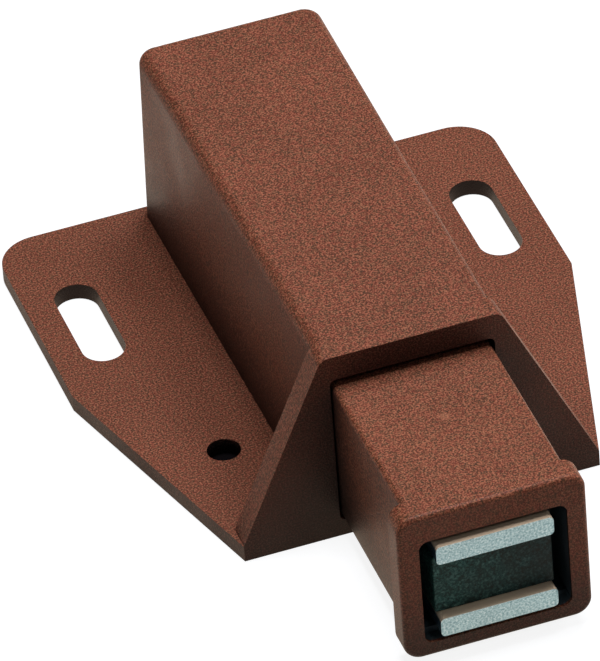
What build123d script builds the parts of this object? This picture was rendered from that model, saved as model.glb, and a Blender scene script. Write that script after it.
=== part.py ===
from build123d import *
import math
import os

os.makedirs("parts", exist_ok=True)

# Magnetic push-to-open catch at rest, with its plunger fully out. Millimetres.
# X runs across the catch, +Y into the cupboard, +Z away from the mounting face.
# The origin is on that face, at the foot of the front plate, on the centre line.

# housing
case_length = 52.0
case_height = 20.6
roof_width = 17.3           # across the roof at the front
foot_width = 18.6           # across the foot at the front
rear_flare = 0.8            # extra width at the rear end
rear_wall = 1.7
roof_thickness = 1.9
roof_edge_radius = 1.3
rear_corner_radius = 1.8

# front plate and fixing flanges
front_thickness = 2.7
front_foot_width = 34.6     # across the front plate at the flanges
front_corner_radius = 1.2
flange_thickness = 1.7
flange_width = 49.6
flange_straight = 24.7      # length of the flanges' parallel stretch, from the rear
flange_rear_radius = 4.0
flange_side_radius = 2.5
flange_tip_radius = 1.0
slot_width = 4.2
slot_length = 12.3
slot_spacing = 39.6
slot_to_rear = 14.8         # slot centre to the flanges' rear edge
pin_hole_diameter = 3.2
pin_hole_spacing = 28.8
pin_hole_to_front = 14.1

# plunger
reach = 20.6                # front plate to the face of the head
stroke = 16.5               # from fully out to fully pressed
latched_depth = 13.5        # from fully out to held by the cam
plunger_width = 15.5
plunger_underside = 2.1
top_drop = 3.4              # from the housing's top down to the plunger's
plunger_rear = 24.0
plunger_edge_radius = 0.6
head_width = 18.0
head_thickness = 2.6
head_drop = 1.1             # how far the head hangs below the plunger
head_corner_radius = 1.7
head_edge_radius = 0.5
side_clearance = 0.2
lift_clearance = 0.2
mouth_clearance = 0.8       # above the plunger, under the front plate's lip
foot_clearance = 0.35       # below the plunger, over the front plate's sill
stop_gap = 0.05
stop_lug_width = 7.0
stop_lug_length = 3.6
stop_lug_height = 1.2

# magnet and pole plates
magnet_height = 6.3
magnet_width = 11.4
magnet_length = 11.5
pole_width = 11.2
pole_thickness = 2.0
pole_length = 13.6
pole_corner_radius = 0.45
pole_proud = 0.4            # pole plates in front of the head
magnet_set_back = 0.7       # magnet behind the head's face
pack_to_head_base = 7.4     # middle of the magnet above the head's lower edge
pack_clearance = 0.05
recess_width = 14.1
recess_height = 11.65
recess_depth = 1.5
recess_corner_radius = 0.9
side_gap_depth = 5.0
nib_radius = 0.6
nib_to_face = 9.0

# heart cam and its follower
follower_wire = 1.2
follower_length = 22.0
follower_swing = 3.6        # sideways travel of the tip
track_width = 1.9
track_depth = 1.8
track_overlap = 4.0         # plunger behind the follower's tip when fully out
cam_underside = 5.2
step_to_front = 1.5         # end of the deep part of the plunger, behind the front plate
heart_offset = 0.6
wire_bend_radius = 1.2
wire_lift = 0.7             # from the wire up to the cam's underside
tip_clearance = 0.3         # from the tip up to the bottom of the track
pivot_clearance = 0.05

# spring
spring_outer = 6.5
spring_wire = 0.7
spring_turns = 12
coil_sides = 12             # straight runs in each turn
wire_sides = 6
spring_clearance = 0.65
spring_seat = 3.5           # bottom of its bore, behind the front plate
spring_end_gap = 0.05
peg_clearance = 0.45
peg_length = 5.0

# base plate and leaf
plate_thickness = 1.1
plate_recess = 0.1
plate_ledge = 0.45          # the seat around the cavity
plate_gap = 0.15
tongue_width = 9.0
tongue_length = 1.2
tongue_thickness = 0.55
post_diameter = 1.8
post_clearance = 0.05
post_short = 0.3
pillar_size = 3.2
boss_radius = 1.7
boss_height = 1.7
boss_floor = 0.6
leaf_width = 3.0
leaf_thickness = 0.25
leaf_foot = 6.0
leaf_rise = 5.5
leaf_pad = 2.0
leaf_gap = 0.07
leaf_to_tip = 2.2           # leaf's front end behind the follower's tip
leaf_post_diameter = 1.5
leaf_post_height = 0.8
rail_width = 1.4
rib_width = 1.0
rib_spacing = 10.0
sleeve_gap = 0.6

# places that follow from the sizes
plunger_top = case_height - top_drop
spring_height = (cam_underside + track_depth + plunger_top) / 2
roof_inside = case_height - roof_thickness
cavity_width = plunger_width + 2 * side_clearance
cavity_rear = case_length - rear_wall
plate_top = plate_recess + plate_thickness
head_face = -reach
head_back = head_face + head_thickness
head_base = plunger_underside - head_drop
pack_middle = head_base + pack_to_head_base
tip_rest = plunger_rear - track_overlap
pivot_y = tip_rest + follower_length
wire_middle = cam_underside - wire_lift - follower_wire / 2
swing_angle = math.asin(follower_swing / follower_length)
tip_forward = follower_length * (1 - math.cos(swing_angle))


with BuildSketch() as foot_outline:
    with BuildLine():
        straight_start = case_length - flange_straight
        Polyline(
            (-front_foot_width / 2, 0),
            (front_foot_width / 2, 0),
            (flange_width / 2, straight_start),
            (flange_width / 2, case_length),
            (-flange_width / 2, case_length),
            (-flange_width / 2, straight_start),
            close=True,
        )
    make_face()
    corners = foot_outline.vertices().group_by(Axis.Y)
    fillet(corners[2], flange_rear_radius)
    fillet(corners[1], flange_side_radius)
    fillet(corners[0], flange_tip_radius)

with BuildPart() as housing:
    for distance, flare in ((0, 0), (case_length, rear_flare)):
        with BuildSketch(Plane.XZ.offset(-distance)):
            with BuildLine():
                Polyline(
                    (-(foot_width + flare) / 2, 0),
                    ((foot_width + flare) / 2, 0),
                    ((roof_width + flare) / 2, case_height),
                    (-(roof_width + flare) / 2, case_height),
                    close=True,
                )
            make_face()
    loft()
    fillet(housing.faces().sort_by(Axis.Y)[-1].edges().group_by(Axis.Z)[1], rear_corner_radius)
    fillet(housing.faces().sort_by(Axis.Z)[-1].edges().sort_by(Axis.Y)[1:], roof_edge_radius)

    # front plate, flaring down to the flanges
    with BuildSketch(Plane.XZ) as front_outline:
        with BuildLine():
            Polyline(
                (-front_foot_width / 2, 0),
                (front_foot_width / 2, 0),
                (front_foot_width / 2, flange_thickness),
                (roof_width / 2, case_height),
                (-roof_width / 2, case_height),
                (-front_foot_width / 2, flange_thickness),
                close=True,
            )
        make_face()
        fillet(front_outline.vertices().group_by(Axis.Z)[-1], front_corner_radius)
    extrude(amount=-front_thickness)

    # flanges with their slots and pin holes
    extrude(foot_outline.sketch, amount=flange_thickness)
    extrude(foot_outline.sketch, amount=case_height, mode=Mode.INTERSECT)
    with BuildSketch():
        with Locations((0, case_length - slot_to_rear)):
            with GridLocations(slot_spacing, 0, 2, 1):
                SlotOverall(slot_length, slot_width, rotation=90)
        with Locations((0, pin_hole_to_front)):
            with GridLocations(pin_hole_spacing, 0, 2, 1):
                Circle(pin_hole_diameter / 2)
    extrude(amount=flange_thickness, mode=Mode.SUBTRACT)

    # cavity, the seat of the base plate and the mouth
    with BuildSketch(Plane.XY.offset(plate_top)):
        with Locations((0, (front_thickness + cavity_rear) / 2)):
            Rectangle(cavity_width, cavity_rear - front_thickness)
    extrude(amount=roof_inside - plate_top, mode=Mode.SUBTRACT)
    with BuildSketch():
        with Locations((0, (front_thickness + cavity_rear) / 2)):
            Rectangle(cavity_width + 2 * plate_ledge, cavity_rear - front_thickness)
    extrude(amount=plate_top, mode=Mode.SUBTRACT)
    with BuildSketch(Plane.XZ) as mouth:
        mouth_low = plunger_underside - foot_clearance
        mouth_high = plunger_top + mouth_clearance
        with Locations((0, (mouth_low + mouth_high) / 2)):
            RectangleRounded(cavity_width, mouth_high - mouth_low, plunger_edge_radius)
    extrude(amount=-front_thickness, mode=Mode.SUBTRACT)

    # slot in the sill for the base plate's tongue
    with BuildSketch(Plane.XY.offset(plate_top - tongue_thickness - plate_gap)):
        with Locations((0, front_thickness - (tongue_length + plate_gap) / 2)):
            Rectangle(tongue_width + 2 * plate_gap, tongue_length + plate_gap)
    extrude(amount=tongue_thickness + plate_gap, mode=Mode.SUBTRACT)

    # ribs under the roof and rails along the walls guide the plunger
    rib_low = plunger_top + lift_clearance
    with BuildSketch(Plane.XY.offset(rib_low)):
        with Locations((0, (front_thickness + cavity_rear) / 2)):
            with GridLocations(rib_spacing, 0, 2, 1):
                Rectangle(rib_width, cavity_rear - front_thickness)
    extrude(amount=roof_inside - rib_low)
    rail_front = step_to_front + stroke + sleeve_gap
    rail_rear = plunger_rear + stroke
    with BuildSketch(Plane.XY.offset(plate_top)):
        with Locations((0, (rail_front + rail_rear) / 2)):
            with GridLocations(cavity_width - rail_width, 0, 2, 1):
                Rectangle(rail_width, rail_rear - rail_front)
    extrude(amount=cam_underside - lift_clearance - plate_top)

    # rear pillars end in posts that hold the base plate
    post_spacing = cavity_width - pillar_size
    post_y = cavity_rear - pillar_size / 2
    with BuildSketch(Plane.XY.offset(plate_top)):
        with Locations((0, post_y)):
            with GridLocations(post_spacing, 0, 2, 1):
                Rectangle(pillar_size, pillar_size)
    extrude(amount=roof_inside - plate_top)
    with BuildSketch(Plane.XY.offset(post_short)):
        with Locations((0, post_y)):
            with GridLocations(post_spacing, 0, 2, 1):
                Circle(post_diameter / 2)
    extrude(amount=plate_top - post_short)

    # peg that centres the spring on the rear wall
    spring_inner = spring_outer - 2 * spring_wire
    with BuildSketch(Plane.XZ.offset(-cavity_rear)):
        with Locations((0, spring_height)):
            Circle(spring_inner / 2 - peg_clearance)
    extrude(amount=peg_length)

with BuildPart() as plunger:
    with BuildSketch(Plane.YZ):
        with BuildLine():
            Polyline(
                (head_back, plunger_underside),
                (step_to_front, plunger_underside),
                (step_to_front, cam_underside),
                (plunger_rear, cam_underside),
                (plunger_rear, plunger_top),
                (head_back, plunger_top),
                close=True,
            )
        make_face()
    extrude(amount=plunger_width / 2, both=True)
    fillet(plunger.edges().filter_by(Axis.Y).group_by(Axis.Z)[-1], plunger_edge_radius)
    fillet(plunger.edges().filter_by(Axis.Y).group_by(Axis.Z)[0], plunger_edge_radius)

    # head with the recess and pocket of the magnet pack
    with BuildSketch(Plane.XZ.offset(reach)):
        with Locations((0, (head_base + plunger_top) / 2)):
            RectangleRounded(head_width, plunger_top - head_base, head_corner_radius)
    extrude(amount=-head_thickness)
    fillet(plunger.faces().sort_by(Axis.Y)[0].edges(), head_edge_radius)
    with BuildSketch(Plane.XZ.offset(reach)):
        with Locations((0, pack_middle)):
            RectangleRounded(recess_width, recess_height, recess_corner_radius)
    extrude(amount=-recess_depth, mode=Mode.SUBTRACT)
    pocket_height = magnet_height + 2 * (pole_thickness + pack_clearance)
    pocket_width = magnet_width + 2 * pack_clearance
    pocket_depth = pole_length - pole_proud + pack_clearance
    for opening, depth in ((recess_width, side_gap_depth), (pocket_width, pocket_depth)):
        with BuildSketch(Plane.XZ.offset(reach)):
            with Locations((0, pack_middle)):
                Rectangle(opening, pocket_height)
        extrude(amount=-depth, mode=Mode.SUBTRACT)

    # nibs beside the pole plates keep the pack in
    pole_middle = (magnet_height + pole_thickness) / 2
    for side in (-1, 1):
        for level in (-pole_middle, pole_middle):
            with BuildSketch(Plane.XY.offset(pack_middle + level - pole_thickness / 2)):
                with Locations((side * pocket_width / 2, head_face + nib_to_face)):
                    Circle(nib_radius)
            extrude(amount=pole_thickness)

    # bore for the spring
    with BuildSketch(Plane.XZ.offset(-plunger_rear)):
        with Locations((0, spring_height)):
            Circle(spring_outer / 2 + spring_clearance)
    extrude(amount=plunger_rear - spring_seat, mode=Mode.SUBTRACT)

    # lug that stops the plunger against the front plate
    with BuildSketch(Plane.XY.offset(plunger_top)):
        with Locations((0, front_thickness + stop_gap + stop_lug_length / 2)):
            Rectangle(stop_lug_width, stop_lug_length)
    extrude(amount=stop_lug_height)

    # heart-shaped track: in along +X, back along -X, with the hold between them
    pressed = tip_rest + tip_forward - stroke
    track = [
        (0, tip_rest),
        (follower_swing, pressed),
        (-heart_offset, tip_rest - latched_depth),
        (-follower_swing, pressed),
    ]
    with BuildSketch(Plane.XY.offset(cam_underside)):
        with BuildLine():
            Polyline(*track, close=True)
        trace(line_width=track_width)
        with Locations(*track):
            Circle(track_width / 2)
    extrude(amount=track_depth, mode=Mode.SUBTRACT)

with BuildPart() as magnet:
    with BuildSketch(Plane.XZ.offset(reach - magnet_set_back)):
        with Locations((0, pack_middle)):
            Rectangle(magnet_width, magnet_height)
    extrude(amount=-magnet_length)

pole_plates = {}
for name, level in (("upper_pole_plate", pole_middle), ("lower_pole_plate", -pole_middle)):
    with BuildPart() as plate:
        with BuildSketch(Plane.XZ.offset(reach + pole_proud)):
            with Locations((0, pack_middle + level)):
                RectangleRounded(pole_width, pole_thickness, pole_corner_radius)
        extrude(amount=-pole_length)
        with BuildSketch(Plane.XY.offset(pack_middle + level - pole_thickness / 2)):
            with Locations((0, head_face + nib_to_face)):
                with GridLocations(pocket_width, 0, 2, 1):
                    Circle(nib_radius + pack_clearance)
        extrude(amount=pole_thickness, mode=Mode.SUBTRACT)
    plate.part.label = name
    pole_plates[name] = plate.part

with BuildPart() as plunger_spring:
    spring_front = spring_seat + spring_end_gap
    spring_rear = cavity_rear - spring_end_gap
    spring_span = spring_rear - spring_front
    spring_pitch = spring_span / spring_turns
    coil_radius = (spring_outer - spring_wire) / 2
    coil_start = spring_front - spring_pitch / 4
    coil_runs = round((spring_turns + 0.5) * coil_sides)
    coil_points = [
        (
            coil_radius * math.cos(math.tau * run / coil_sides),
            coil_start + spring_pitch * run / coil_sides,
            spring_height + coil_radius * math.sin(math.tau * run / coil_sides),
        )
        for run in range(coil_runs + 1)
    ]
    with BuildLine() as coil:
        Polyline(*coil_points)
    with BuildSketch(Plane(origin=coil.line @ 0, z_dir=coil.line % 0)):
        RegularPolygon(spring_wire / 2, wire_sides)
    sweep(path=coil.line, transition=Transition.RIGHT)
    with BuildSketch(Plane.XZ.offset(-spring_front)):
        with Locations((0, spring_height)):
            Circle(spring_outer)
    extrude(amount=-spring_span, mode=Mode.INTERSECT)

with BuildPart() as cam_follower:
    wire_foot = plate_top - boss_floor + stop_gap
    wire_tip = cam_underside + track_depth - tip_clearance
    with BuildLine() as wire_path:
        FilletPolyline(
            (0, pivot_y, wire_foot),
            (0, pivot_y, wire_middle),
            (0, tip_rest, wire_middle),
            (0, tip_rest, wire_tip),
            radius=wire_bend_radius,
        )
    with BuildSketch(Plane((0, pivot_y, wire_foot))):
        Circle(follower_wire / 2)
    sweep(path=wire_path.line)

with BuildPart() as base_plate:
    plate_width = cavity_width + 2 * (plate_ledge - plate_gap)
    plate_front = front_thickness + plate_gap
    plate_rear = cavity_rear - plate_gap
    with BuildSketch(Plane.XY.offset(plate_recess)):
        with Locations((0, (plate_front + plate_rear) / 2)):
            Rectangle(plate_width, plate_rear - plate_front)
    extrude(amount=plate_thickness)
    with BuildSketch(Plane.XY.offset(plate_top - tongue_thickness)):
        with Locations((0, plate_front - tongue_length / 2)):
            Rectangle(tongue_width, tongue_length)
    extrude(amount=tongue_thickness)
    with BuildSketch(Plane.XY.offset(plate_top)):
        with Locations((0, pivot_y)):
            Circle(boss_radius)
    extrude(amount=boss_height)
    with BuildSketch(Plane.XY.offset(plate_top - boss_floor)):
        with Locations((0, pivot_y)):
            Circle(follower_wire / 2 + pivot_clearance)
    extrude(amount=boss_floor + boss_height, mode=Mode.SUBTRACT)
    with BuildSketch(Plane.XY.offset(plate_recess)):
        with Locations((0, post_y)):
            with GridLocations(post_spacing, 0, 2, 1):
                Circle(post_diameter / 2 + post_clearance)
    extrude(amount=plate_thickness, mode=Mode.SUBTRACT)
    leaf_front = tip_rest + leaf_to_tip
    leaf_post_y = leaf_front + leaf_foot / 2
    with BuildSketch(Plane.XY.offset(plate_top)):
        with Locations((0, leaf_post_y)):
            Circle(leaf_post_diameter / 2)
    extrude(amount=leaf_post_height)

with BuildPart() as follower_leaf:
    leaf_low = plate_top + leaf_thickness / 2
    leaf_high = wire_middle - follower_wire / 2 - leaf_gap - leaf_thickness / 2
    rise_start = leaf_front + leaf_foot
    rise_end = rise_start + leaf_rise
    with BuildSketch(Plane.YZ):
        with BuildLine():
            FilletPolyline(
                (leaf_front, leaf_low),
                (rise_start, leaf_low),
                (rise_end, leaf_high),
                (rise_end + leaf_pad, leaf_high),
                radius=leaf_pad / 2,
            )
        trace(line_width=leaf_thickness)
    extrude(amount=leaf_width / 2, both=True)
    with BuildSketch(Plane.XY.offset(plate_top)):
        with Locations((0, leaf_post_y)):
            Circle(leaf_post_diameter / 2 + post_clearance)
    extrude(amount=leaf_thickness, mode=Mode.SUBTRACT)

housing.part.label = "housing"
plunger.part.label = "plunger"
magnet.part.label = "magnet"
plunger_spring.part.label = "plunger_spring"
cam_follower.part.label = "cam_follower"
base_plate.part.label = "base_plate"
follower_leaf.part.label = "follower_leaf"

export_step(housing.part, "parts/housing.step")
export_step(plunger.part, "parts/plunger.step")
export_step(magnet.part, "parts/magnet.step")
export_step(pole_plates["upper_pole_plate"], "parts/upper_pole_plate.step")
export_step(pole_plates["lower_pole_plate"], "parts/lower_pole_plate.step")
export_step(plunger_spring.part, "parts/plunger_spring.step")
export_step(cam_follower.part, "parts/cam_follower.step")
export_step(base_plate.part, "parts/base_plate.step")
export_step(follower_leaf.part, "parts/follower_leaf.step")
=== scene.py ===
import math

import bpy
from mathutils import Matrix, Vector


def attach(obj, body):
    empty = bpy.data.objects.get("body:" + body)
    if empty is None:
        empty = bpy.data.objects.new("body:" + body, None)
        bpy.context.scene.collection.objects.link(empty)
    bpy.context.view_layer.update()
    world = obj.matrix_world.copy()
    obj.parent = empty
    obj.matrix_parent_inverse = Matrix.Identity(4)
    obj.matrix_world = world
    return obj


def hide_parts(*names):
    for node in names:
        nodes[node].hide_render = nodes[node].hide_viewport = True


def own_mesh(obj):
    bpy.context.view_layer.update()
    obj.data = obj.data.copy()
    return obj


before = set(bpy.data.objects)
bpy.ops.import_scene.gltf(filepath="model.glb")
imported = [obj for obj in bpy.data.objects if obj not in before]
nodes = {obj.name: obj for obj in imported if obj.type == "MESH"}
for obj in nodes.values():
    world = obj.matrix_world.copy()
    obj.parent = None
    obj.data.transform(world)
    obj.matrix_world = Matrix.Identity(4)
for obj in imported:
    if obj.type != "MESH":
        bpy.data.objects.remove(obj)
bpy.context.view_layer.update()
print("frame loaded")


def deselectAll():
    if bpy.context.object and bpy.context.object.mode != "OBJECT":
        bpy.ops.object.mode_set(mode="OBJECT")
    bpy.ops.object.select_all(action="DESELECT")


def makeActive(piece):
    deselectAll()
    piece.select_set(True)
    bpy.context.view_layer.objects.active = piece


def applyPlace(piece):
    makeActive(piece)
    bpy.ops.object.transform_apply(location=True, rotation=True, scale=True)


def giveMaterial(piece, material):
    piece.data.materials.clear()
    piece.data.materials.append(material)


def setOff(piece, body, material):
    giveMaterial(piece, material)
    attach(piece, body)
    return piece


edges = {
    "mouldings": 0.00014,
    "poles": 0.00022,
    "magnet": 0.00018,
    "weldGap": 0.000002,
    "flatAngle": 0.3,  # neighbours closer than this in direction become one face
    "bevelAngle": 38,
    "bevelSegments": 2,
    "smoothAngle": 32,
    "flatWeight": 100,  # how firmly the large faces keep their shading flat
}


def solidCopy(nodeName, pieceName, edgeWidth):
    # a welded copy of a solid, with its edges softened
    piece = bpy.data.objects.new(pieceName, nodes[nodeName].data.copy())
    bpy.context.scene.collection.objects.link(piece)
    makeActive(piece)
    bpy.ops.object.mode_set(mode="EDIT")
    bpy.ops.mesh.select_all(action="SELECT")
    bpy.ops.mesh.remove_doubles(threshold=edges["weldGap"])
    bpy.ops.mesh.dissolve_limited(angle_limit=math.radians(edges["flatAngle"]))
    bpy.ops.object.mode_set(mode="OBJECT")
    softenEdges(piece, edgeWidth)
    return piece


def softenEdges(piece, width):
    bevel = piece.modifiers.new("softEdges", "BEVEL")
    bevel.width = width
    bevel.segments = edges["bevelSegments"]
    bevel.limit_method = "ANGLE"
    bevel.angle_limit = math.radians(edges["bevelAngle"])
    bpy.ops.object.modifier_apply(modifier=bevel.name)
    bpy.ops.object.shade_smooth_by_angle(angle=math.radians(edges["smoothAngle"]))
    flat = piece.modifiers.new("flatFaces", "WEIGHTED_NORMAL")
    flat.keep_sharp = True
    flat.weight = edges["flatWeight"]
    bpy.ops.object.modifier_apply(modifier=flat.name)


# a Mix node repeats its socket names for every type, so its colour sockets go by number
mixSockets = {"factor": 0, "first": 6, "second": 7}
mixed = 2


class NodeSheet:
    # shorthand for building one material's nodes
    def __init__(self, name):
        self.material = bpy.data.materials.new(name)
        self.material.use_nodes = True
        self.tree = self.material.node_tree
        self.tree.nodes.clear()
        self.output = self.add("ShaderNodeOutputMaterial")
        self.shader = self.add("ShaderNodeBsdfPrincipled")
        self.link(self.shader, "BSDF", self.output, "Surface")
        self.place = self.add("ShaderNodeTexCoord")

    def add(self, kind, **settings):
        node = self.tree.nodes.new(kind)
        for key, value in settings.items():
            if key in node.inputs:
                node.inputs[key].default_value = value
            else:
                setattr(node, key, value)
        return node

    def link(self, fromNode, fromSocket, toNode, toSocket):
        self.tree.links.new(fromNode.outputs[fromSocket], toNode.inputs[toSocket])

    def noise(self, size, detail, roughness):
        # size is the width of one blob in metres
        node = self.add(
            "ShaderNodeTexNoise", Scale=1 / size, Detail=detail, Roughness=roughness)
        self.link(self.place, "Object", node, "Vector")
        return node

    def ramp(self, source, socket, stops):
        node = self.add("ShaderNodeValToRGB")
        self.link(source, socket, node, "Fac")
        elements = node.color_ramp.elements
        while len(elements) < len(stops):
            elements.new(0.5)
        for element, (position, colour) in zip(elements, stops):
            element.position = position
            element.color = (*colour, 1)
        return node

    def range(self, source, socket, low, high, fromLow=0.0, fromHigh=1.0):
        node = self.add("ShaderNodeMapRange")
        node.inputs["From Min"].default_value = fromLow
        node.inputs["From Max"].default_value = fromHigh
        node.inputs["To Min"].default_value = low
        node.inputs["To Max"].default_value = high
        self.link(source, socket, node, "Value")
        return node

    def mix(self, kind, factor, first, second):
        # factor is a number or a (node, socket) pair, first and second are pairs or colours
        node = self.add("ShaderNodeMix", data_type="RGBA", blend_type=kind)
        if isinstance(factor, tuple):
            self.link(*factor, node, mixSockets["factor"])
        else:
            node.inputs[mixSockets["factor"]].default_value = factor
        for name, value in (("first", first), ("second", second)):
            if isinstance(value[0], (int, float)):
                node.inputs[mixSockets[name]].default_value = (*value, 1)
            else:
                self.link(*value, node, mixSockets[name])
        return node


housingFinish = {
    "colour": (0.190, 0.058, 0.031),
    "dark": (0.038, 0.010, 0.008),
    "pale": (0.520, 0.205, 0.118),
    "olive": (0.120, 0.066, 0.034),
    "ruddy": (0.260, 0.050, 0.032),
    "grain": {"size": 0.00017, "detail": 1.5, "roughness": 0.6},
    "grainStops": (0.38, 0.50, 0.65),  # where dark, colour and pale lie in the grain
    "tint": {"size": 0.00034, "detail": 2.0, "roughness": 0.6},
    "tintStops": (0.38, 0.50, 0.62),  # where olive, colour and ruddy lie in the tint
    "tintShare": 0.38,
    "cloud": {"size": 0.009, "detail": 3.0, "roughness": 0.5},
    "cloudShade": ((0.35, (0.94, 0.94, 0.94)), (0.65, (1.05, 1.04, 1.03))),
    "cloudSpan": (0.3, 0.7),  # the part of the cloud that the roughness follows
    "roughness": (0.44, 0.58),
    "bump": 0.000045,
    "specular": 0.18,
    # painted shade: an ambient occlusion darkening multiplied into the colour in corners,
    # crevices and between parts
    "cornerReach": 0.011,
    "cornerSamples": 8,
    "cornerShade": (
        (0.42, (0.11, 0.19, 0.30)),
        (0.74, (0.45, 0.52, 0.62)),
        (0.96, (1, 1, 1)),
    ),
    "topShare": 0.2,  # how much of the corner shade level faces take
    "topSpan": (0.3, 0.8),  # from a face that counts as upright to one that counts as level
    # painted shade: inside these boxes the colour is turned near black where shade falls
    "paintedShadePockets": (  # painted shade on the walls of the two screw slots
        {"centre": (-0.0198, 0.0372, 0), "half": (0.00216, 0.00625, 0.0016)},
        {"centre": (0.0198, 0.0372, 0), "half": (0.00216, 0.00625, 0.0016)},
    ),
    "pocketShadeColour": (0.022, 0.012, 0.010),
}

plungerFinish = dict(
    housingFinish,
    colour=(0.208, 0.064, 0.033),
    dark=(0.043, 0.012, 0.009),
    pale=(0.540, 0.215, 0.120),
    roughness=(0.40, 0.54),
    # painted shade in the recess round the magnet and its pole plates
    paintedShadePockets=({"centre": (0, -0.0147, 0.0084), "half": (0.00715, 0.0056, 0.00596)},),
    pocketShadeColour=(0.045, 0.062, 0.074),
    gateMark={"centre": (0.00017, -0.0080, 0.0172), "radius": 0.0006, "core": 0.55},
    gateMarkShare=0.3,
)

coverFinish = dict(
    housingFinish,
    colour=(0.080, 0.035, 0.024),
    dark=(0.030, 0.012, 0.009),
    pale=(0.160, 0.074, 0.050),
    olive=(0.060, 0.034, 0.022),
    ruddy=(0.095, 0.034, 0.024),
    paintedShadePockets=(),
)


def insideBox(sheet, centre, half, edgeStart=0.985):
    # 1 inside the box, 0 outside it, fading from edgeStart of the way out
    moved = sheet.add("ShaderNodeVectorMath", operation="SUBTRACT")
    sheet.link(sheet.place, "Object", moved, 0)
    moved.inputs[1].default_value = centre
    size = sheet.add("ShaderNodeVectorMath", operation="ABSOLUTE")
    sheet.link(moved, "Vector", size, 0)
    share = sheet.add("ShaderNodeVectorMath", operation="DIVIDE")
    sheet.link(size, "Vector", share, 0)
    share.inputs[1].default_value = half
    axes = sheet.add("ShaderNodeSeparateXYZ")
    sheet.link(share, "Vector", axes, 0)
    level = sheet.add("ShaderNodeMath", operation="MAXIMUM")
    sheet.link(axes, "X", level, 0)
    sheet.link(axes, "Y", level, 1)
    widest = sheet.add("ShaderNodeMath", operation="MAXIMUM")
    sheet.link(level, "Value", widest, 0)
    sheet.link(axes, "Z", widest, 1)
    return sheet.range(widest, "Value", 1, 0, fromLow=edgeStart, fromHigh=1.0)


def nearPoint(sheet, centre, radius, core):
    # 1 up to core of the radius, falling to 0 at the radius
    gap = sheet.add("ShaderNodeVectorMath", operation="DISTANCE")
    sheet.link(sheet.place, "Object", gap, 0)
    gap.inputs[1].default_value = centre
    return sheet.range(gap, "Value", 1, 0, fromLow=radius * core, fromHigh=radius)


def toneStops(finish, positions, tones):
    return tuple((position, finish[tone]) for position, tone in zip(positions, tones))


def mouldedPlastic(name, finish):
    sheet = NodeSheet(name)
    grain = sheet.noise(**finish["grain"])
    tint = sheet.noise(**finish["tint"])
    cloud = sheet.noise(**finish["cloud"])
    specks = sheet.ramp(
        grain, "Fac", toneStops(finish, finish["grainStops"], ("dark", "colour", "pale")))
    hue = sheet.ramp(
        tint, "Fac", toneStops(finish, finish["tintStops"], ("olive", "colour", "ruddy")))
    speckled = sheet.mix("MIX", finish["tintShare"], (specks, "Color"), (hue, "Color"))
    shade = sheet.ramp(cloud, "Fac", finish["cloudShade"])
    colour = sheet.mix("MULTIPLY", 1.0, (speckled, mixed), (shade, "Color"))
    # painted shade: the colour is darkened where ambient occlusion finds corners and nearby
    # parts, less so on level faces
    corners = sheet.add(
        "ShaderNodeAmbientOcclusion",
        Distance=finish["cornerReach"], samples=finish["cornerSamples"])
    paintedCornerShade = sheet.ramp(corners, "AO", finish["cornerShade"])
    facing = sheet.add("ShaderNodeSeparateXYZ")
    sheet.link(sheet.place, "Normal", facing, 0)
    upright = sheet.range(facing, "Z", 1, finish["topShare"], *finish["topSpan"])
    colour = sheet.mix("MULTIPLY", (upright, "Result"), (colour, mixed), (paintedCornerShade, "Color"))
    if "gateMark" in finish:
        mark = nearPoint(sheet, **finish["gateMark"])
        faint = sheet.range(mark, "Result", 0, finish["gateMarkShare"])
        colour = sheet.mix("MIX", (faint, "Result"), (colour, mixed), finish["pale"])
    # painted shade: inside each box the colour gives way to the pocket's shade colour
    for box in finish["paintedShadePockets"]:
        shadedPocket = insideBox(sheet, **box)
        colour = sheet.mix(
            "MIX", (shadedPocket, "Result"), (colour, mixed), finish["pocketShadeColour"])
    sheet.link(colour, mixed, sheet.shader, "Base Color")
    rough = sheet.range(cloud, "Fac", *finish["roughness"], *finish["cloudSpan"])
    sheet.link(rough, "Result", sheet.shader, "Roughness")
    sheet.shader.inputs["Specular IOR Level"].default_value = finish["specular"]
    bump = sheet.add("ShaderNodeBump", Strength=1.0, Distance=finish["bump"])
    sheet.link(grain, "Fac", bump, "Height")
    sheet.link(bump, "Normal", sheet.shader, "Normal")
    return sheet.material


wireFinish = {
    "colour": (0.50, 0.50, 0.49),
    "stain": (0.34, 0.34, 0.34),
    "pale": (0.62, 0.62, 0.60),
    "mottle": {"size": 0.00020, "detail": 2.0, "roughness": 0.6},
    "mottleStops": (0.34, 0.52, 0.74),  # where stain, colour and pale lie in the mottle
    "wear": {"size": 0.0016, "detail": 3.0, "roughness": 0.5},
    "wearSpan": (0.3, 0.7),  # the part of the wear that the roughness follows
    "roughness": (0.28, 0.42),
    "bump": 0.000008,
    "bumpStrength": 0.5,
}

poleFinish = dict(
    wireFinish,
    colour=(0.28, 0.45, 0.54),
    stain=(0.14, 0.26, 0.33),
    pale=(0.49, 0.65, 0.74),
    roughness=(0.34, 0.48),
    # painted highlight: a warm bright line along the upper edge
    paintedEdgeHighlight=(1.0, 0.76, 0.55),
    highlightSpan=(0.15, 0.55),  # from a face in the plate's own colour to one fully given the painted highlight
    highlightMetallic=0.1,
)


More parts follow.
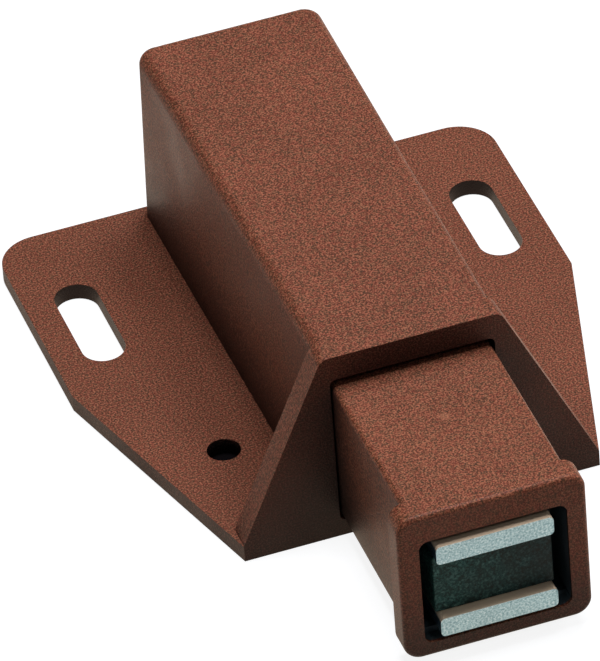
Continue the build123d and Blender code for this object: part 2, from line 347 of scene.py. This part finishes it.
def platedSteel(name, finish):
    sheet = NodeSheet(name)
    mottle = sheet.noise(**finish["mottle"])
    wear = sheet.noise(**finish["wear"])
    colour = sheet.ramp(
        mottle, "Fac", toneStops(finish, finish["mottleStops"], ("stain", "colour", "pale")))
    if "paintedEdgeHighlight" in finish:
        # painted highlight: upward faces, the upper edge most, are turned warm and bright
        axes = sheet.add("ShaderNodeSeparateXYZ")
        sheet.link(sheet.place, "Normal", axes, 0)
        paintedHighlightMask = sheet.range(axes, "Z", 0, 1, *finish["highlightSpan"])
        colour = sheet.mix(
            "MIX", (paintedHighlightMask, "Result"), (colour, "Color"), finish["paintedEdgeHighlight"])
        sheet.link(colour, mixed, sheet.shader, "Base Color")
        metal = sheet.range(paintedHighlightMask, "Result", 1, finish["highlightMetallic"])
        sheet.link(metal, "Result", sheet.shader, "Metallic")
    else:
        sheet.link(colour, "Color", sheet.shader, "Base Color")
        sheet.shader.inputs["Metallic"].default_value = 1.0
    rough = sheet.range(wear, "Fac", *finish["roughness"], *finish["wearSpan"])
    sheet.link(rough, "Result", sheet.shader, "Roughness")
    bump = sheet.add(
        "ShaderNodeBump", Strength=finish["bumpStrength"], Distance=finish["bump"])
    sheet.link(mottle, "Fac", bump, "Height")
    sheet.link(bump, "Normal", sheet.shader, "Normal")
    return sheet.material


ferriteFinish = {
    "colour": (0.020, 0.066, 0.062),
    "dark": (0.002, 0.007, 0.007),
    "pale": (0.150, 0.230, 0.200),
    "grain": {"size": 0.00020, "detail": 2.0, "roughness": 0.65},
    "grainStops": (0.34, 0.52, 0.76),  # where dark, colour and pale lie in the grain
    "lumps": {"size": 0.0016, "detail": 3.0, "roughness": 0.6},
    "lumpShade": ((0.35, (0.55, 0.55, 0.55)), (0.68, (1.2, 1.25, 1.2))),
    "halfWidth": 0.0057,
    "lit": (1.5, 1.7, 1.7),  # painted light at the left end
    "shaded": (0.5, 0.5, 0.6),  # painted shade at the right end
    "roughness": 0.6,
    "specular": 0.2,
    "bump": 0.00008,
    "bumpStrength": 0.8,
}


def sinteredFerrite(name, finish):
    sheet = NodeSheet(name)
    grain = sheet.noise(**finish["grain"])
    lumps = sheet.noise(**finish["lumps"])
    colour = sheet.ramp(
        grain, "Fac", toneStops(finish, finish["grainStops"], ("dark", "colour", "pale")))
    shade = sheet.ramp(lumps, "Fac", finish["lumpShade"])
    both = sheet.mix("MULTIPLY", 1.0, (colour, "Color"), (shade, "Color"))
    # painted light and shade: the block is lighter at its left end and darker at its right
    axes = sheet.add("ShaderNodeSeparateXYZ")
    sheet.link(sheet.place, "Object", axes, 0)
    across = sheet.range(
        axes, "X", 0, 1, fromLow=-finish["halfWidth"], fromHigh=finish["halfWidth"])
    paintedLightAcross = sheet.ramp(across, "Result", ((0.0, finish["lit"]), (1.0, finish["shaded"])))
    both = sheet.mix("MULTIPLY", 1.0, (both, mixed), (paintedLightAcross, "Color"))
    sheet.link(both, mixed, sheet.shader, "Base Color")
    sheet.shader.inputs["Specular IOR Level"].default_value = finish["specular"]
    sheet.shader.inputs["Roughness"].default_value = finish["roughness"]
    bump = sheet.add(
        "ShaderNodeBump", Strength=finish["bumpStrength"], Distance=finish["bump"])
    sheet.link(lumps, "Fac", bump, "Height")
    sheet.link(bump, "Normal", sheet.shader, "Normal")
    return sheet.material


housingPlastic = mouldedPlastic("housingPlastic", housingFinish)
plungerPlastic = mouldedPlastic("plungerPlastic", plungerFinish)
coverPlastic = mouldedPlastic("coverPlastic", coverFinish)
poleSteel = platedSteel("poleSteel", poleFinish)
springSteel = platedSteel("springSteel", wireFinish)
ferrite = sinteredFerrite("ferrite", ferriteFinish)
print("materials made")

for nodeName, pieceName, slotName, body, material, width in (
    ("housing", "housingShell", "housing_plastic", "housing", housingPlastic, "mouldings"),
    ("plunger", "plungerShell", "plunger_plastic", "plunger", plungerPlastic, "mouldings"),
    ("upper_pole_plate", "upperPole", "pole_steel", "plunger", poleSteel, "poles"),
    ("lower_pole_plate", "lowerPole", "pole_steel", "plunger", poleSteel, "poles"),
    ("magnet", "magnetBlock", "ferrite", "plunger", ferrite, "magnet"),
):
    piece = solidCopy(nodeName, pieceName, edges[width])
    setOff(piece, body, material)
    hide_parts(nodeName)
print("mouldings, poles and magnet made")


springSizes = {
    "start": 0.00355,
    "end": 0.05025,
    "height": 0.0121,
    "coilRadius": 0.0029,
    "wireRadius": 0.00035,
    "wireSides": 10,
    "turns": 12,
    "stepsPerTurn": 28,
    "smoothAngle": 50,
    "pressedShare": 0.647,  # length fully pressed as a share of the length at rest
}


def makeSpring():
    length = springSizes["end"] - springSizes["start"]
    deselectAll()
    bpy.ops.mesh.primitive_circle_add(
        vertices=springSizes["wireSides"], radius=springSizes["wireRadius"],
        location=(springSizes["coilRadius"], 0, 0), rotation=(math.radians(90), 0, 0))
    spring = bpy.context.object
    spring.name = "plungerSpring"
    applyPlace(spring)
    coil = spring.modifiers.new("coil", "SCREW")
    coil.axis = "Z"
    coil.angle = math.radians(360 * springSizes["turns"])
    coil.screw_offset = length - 2 * springSizes["wireRadius"]
    coil.steps = coil.render_steps = springSizes["stepsPerTurn"] * springSizes["turns"]
    bpy.ops.object.modifier_apply(modifier=coil.name)
    spring.rotation_euler = (math.radians(-90), 0, 0)
    spring.location = (
        0, springSizes["start"] + springSizes["wireRadius"], springSizes["height"])
    applyPlace(spring)
    # the wire's two open ends are closed
    bpy.ops.object.mode_set(mode="EDIT")
    bpy.ops.mesh.select_all(action="DESELECT")
    bpy.ops.mesh.select_non_manifold()
    bpy.ops.mesh.edge_face_add()
    bpy.ops.mesh.select_all(action="SELECT")
    bpy.ops.mesh.normals_make_consistent(inside=False)
    bpy.ops.object.mode_set(mode="OBJECT")
    bpy.ops.object.shade_smooth_by_angle(angle=math.radians(springSizes["smoothAngle"]))
    setOff(spring, "housing", springSteel)
    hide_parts("plunger_spring")
    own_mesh(spring)


makeSpring()
print("spring made")

for nodeName, material in (
    ("base_plate", coverPlastic),
    ("cam_follower", springSteel),
    ("follower_leaf", springSteel),
):
    giveMaterial(nodes[nodeName], material)
print("carried solids finished")


studio = {
    "floor": {
        "size": 3.0,
        "height": -0.00002,
        "colour": (0.27, 0.28, 0.30),
        "roughness": 0.9,
        "specular": 0.1,
        "glow": 0.88,  # as the camera sees it
        "glossGlow": 1.1,  # as the object reflects it
        "glossColour": (1.0, 0.76, 0.56),
    },
    "worldStrength": 0.03,
    # painted shade: dark discs under the pin holes
    "shadeDiscs": {
        "spacing": 0.0288,
        "rear": 0.0141,
        "height": -0.00001,
        "radius": 0.0026,
        "sides": 32,
        "colour": (0.006, 0.005, 0.006),
        "roughness": 0.9,
    },
    "lightTarget": (0, 0.015, 0),
    "lights": {
        "topSoftbox": {"power": 5.8, "place": (0.0, 0.06, 1.0), "size": 0.30},
        "rearSoftbox": {"power": 2.9, "place": (0.36, 0.34, 0.87), "size": 0.32},
        "sideSoftbox": {"power": 2.0, "place": (0.87, 0.0, 0.5), "size": 0.32},
        "frontCard": {"power": 0.5, "place": (0.22, -0.60, 0.76), "size": 0.14},
    },
}


def makeFloor():
    paper = studio["floor"]
    bpy.ops.mesh.primitive_plane_add(size=paper["size"], location=(0, 0, paper["height"]))
    floor = bpy.context.object
    floor.name = "floor"
    sheet = NodeSheet("floorPaper")
    sheet.shader.inputs["Base Color"].default_value = (*paper["colour"], 1)
    sheet.shader.inputs["Roughness"].default_value = paper["roughness"]
    sheet.shader.inputs["Specular IOR Level"].default_value = paper["specular"]
    path = sheet.add("ShaderNodeLightPath")
    last = sheet.shader
    for ray, strength, colour in (
        ("Is Camera Ray", paper["glow"], (1, 1, 1)),
        ("Is Transmission Ray", paper["glow"], (1, 1, 1)),
        ("Is Glossy Ray", paper["glossGlow"], paper["glossColour"]),
    ):
        seen = sheet.add("ShaderNodeMath", operation="MULTIPLY")
        seen.inputs[1].default_value = strength
        sheet.link(path, ray, seen, 0)
        glow = sheet.add("ShaderNodeEmission", Color=(*colour, 1))
        sheet.link(seen, "Value", glow, "Strength")
        both = sheet.add("ShaderNodeAddShader")
        sheet.link(last, 0, both, 0)
        sheet.link(glow, 0, both, 1)
        last = both
    sheet.link(last, "Shader", sheet.output, "Surface")
    giveMaterial(floor, sheet.material)


def makeWorld():
    world = bpy.data.worlds.new("studioWorld")
    bpy.context.scene.world = world
    world.use_nodes = True
    tree = world.node_tree
    tree.nodes.clear()
    output = tree.nodes.new("ShaderNodeOutputWorld")
    background = tree.nodes.new("ShaderNodeBackground")
    path = tree.nodes.new("ShaderNodeLightPath")
    # full strength where the camera looks, the studio's own for all other rays
    strength = tree.nodes.new("ShaderNodeMix")
    strength.inputs[2].default_value = studio["worldStrength"]
    strength.inputs[3].default_value = 1.0
    direct = tree.nodes.new("ShaderNodeMath")
    direct.operation = "MAXIMUM"
    tree.links.new(path.outputs["Is Camera Ray"], direct.inputs[0])
    tree.links.new(path.outputs["Is Transmission Ray"], direct.inputs[1])
    tree.links.new(direct.outputs[0], strength.inputs[0])
    tree.links.new(strength.outputs[0], background.inputs["Strength"])
    tree.links.new(background.outputs[0], output.inputs[0])


def makeShadeDiscs():
    # dark discs on the floor, one under each pin hole: painted shade seen through the holes
    discSizes = studio["shadeDiscs"]
    sheet = NodeSheet("shadeDisc")
    sheet.shader.inputs["Base Color"].default_value = (*discSizes["colour"], 1)
    sheet.shader.inputs["Roughness"].default_value = discSizes["roughness"]
    sheet.shader.inputs["Specular IOR Level"].default_value = 0.0
    for side in (-1, 1):
        deselectAll()
        bpy.ops.mesh.primitive_circle_add(
            vertices=discSizes["sides"], radius=discSizes["radius"], fill_type="NGON",
            location=(side * discSizes["spacing"] / 2, discSizes["rear"], discSizes["height"]))
        discPiece = bpy.context.object
        discPiece.name = "shadeDiscLeft" if side < 0 else "shadeDiscRight"
        giveMaterial(discPiece, sheet.material)


def makeLight(name, power, place, size):
    light = bpy.data.lights.new(name, "AREA")
    light.energy = power
    light.shape = "SQUARE"
    light.size = size
    holder = bpy.data.objects.new(name, light)
    holder.location = place
    toCentre = Vector(studio["lightTarget"]) - holder.location
    holder.rotation_euler = toCentre.to_track_quat("-Z", "Y").to_euler()
    bpy.context.scene.collection.objects.link(holder)


cameraPlace = {
    "target": (-0.00499, 0.01813, 0.0098),
    "azimuth": -16.41,
    "elevation": 38.13,
    "roll": -4.63,
    "distance": 0.92706,
    "lens": 547.39,
    "sensor": 36,
    "farthest": 20,
}


def makeCamera():
    turn = math.radians(cameraPlace["azimuth"])
    rise = math.radians(cameraPlace["elevation"])
    back = Vector((
        math.sin(turn) * math.cos(rise), -math.cos(turn) * math.cos(rise), math.sin(rise)))
    camera = bpy.data.objects.new("camera", bpy.data.cameras.new("camera"))
    bpy.context.scene.collection.objects.link(camera)
    aim = back.to_track_quat("Z", "Y").to_matrix().to_4x4()
    roll = Matrix.Rotation(math.radians(cameraPlace["roll"]), 4, "Z")
    spot = Vector(cameraPlace["target"]) + back * cameraPlace["distance"]
    camera.matrix_world = Matrix.Translation(spot) @ aim @ roll
    camera.data.lens = cameraPlace["lens"]
    camera.data.sensor_width = cameraPlace["sensor"]
    camera.data.clip_end = cameraPlace["farthest"]
    bpy.context.scene.camera = camera


makeFloor()
makeWorld()
makeShadeDiscs()
for lightName, setting in studio["lights"].items():
    makeLight(lightName, **setting)
makeCamera()
bpy.context.scene.view_settings.view_transform = "Standard"
print("studio made")
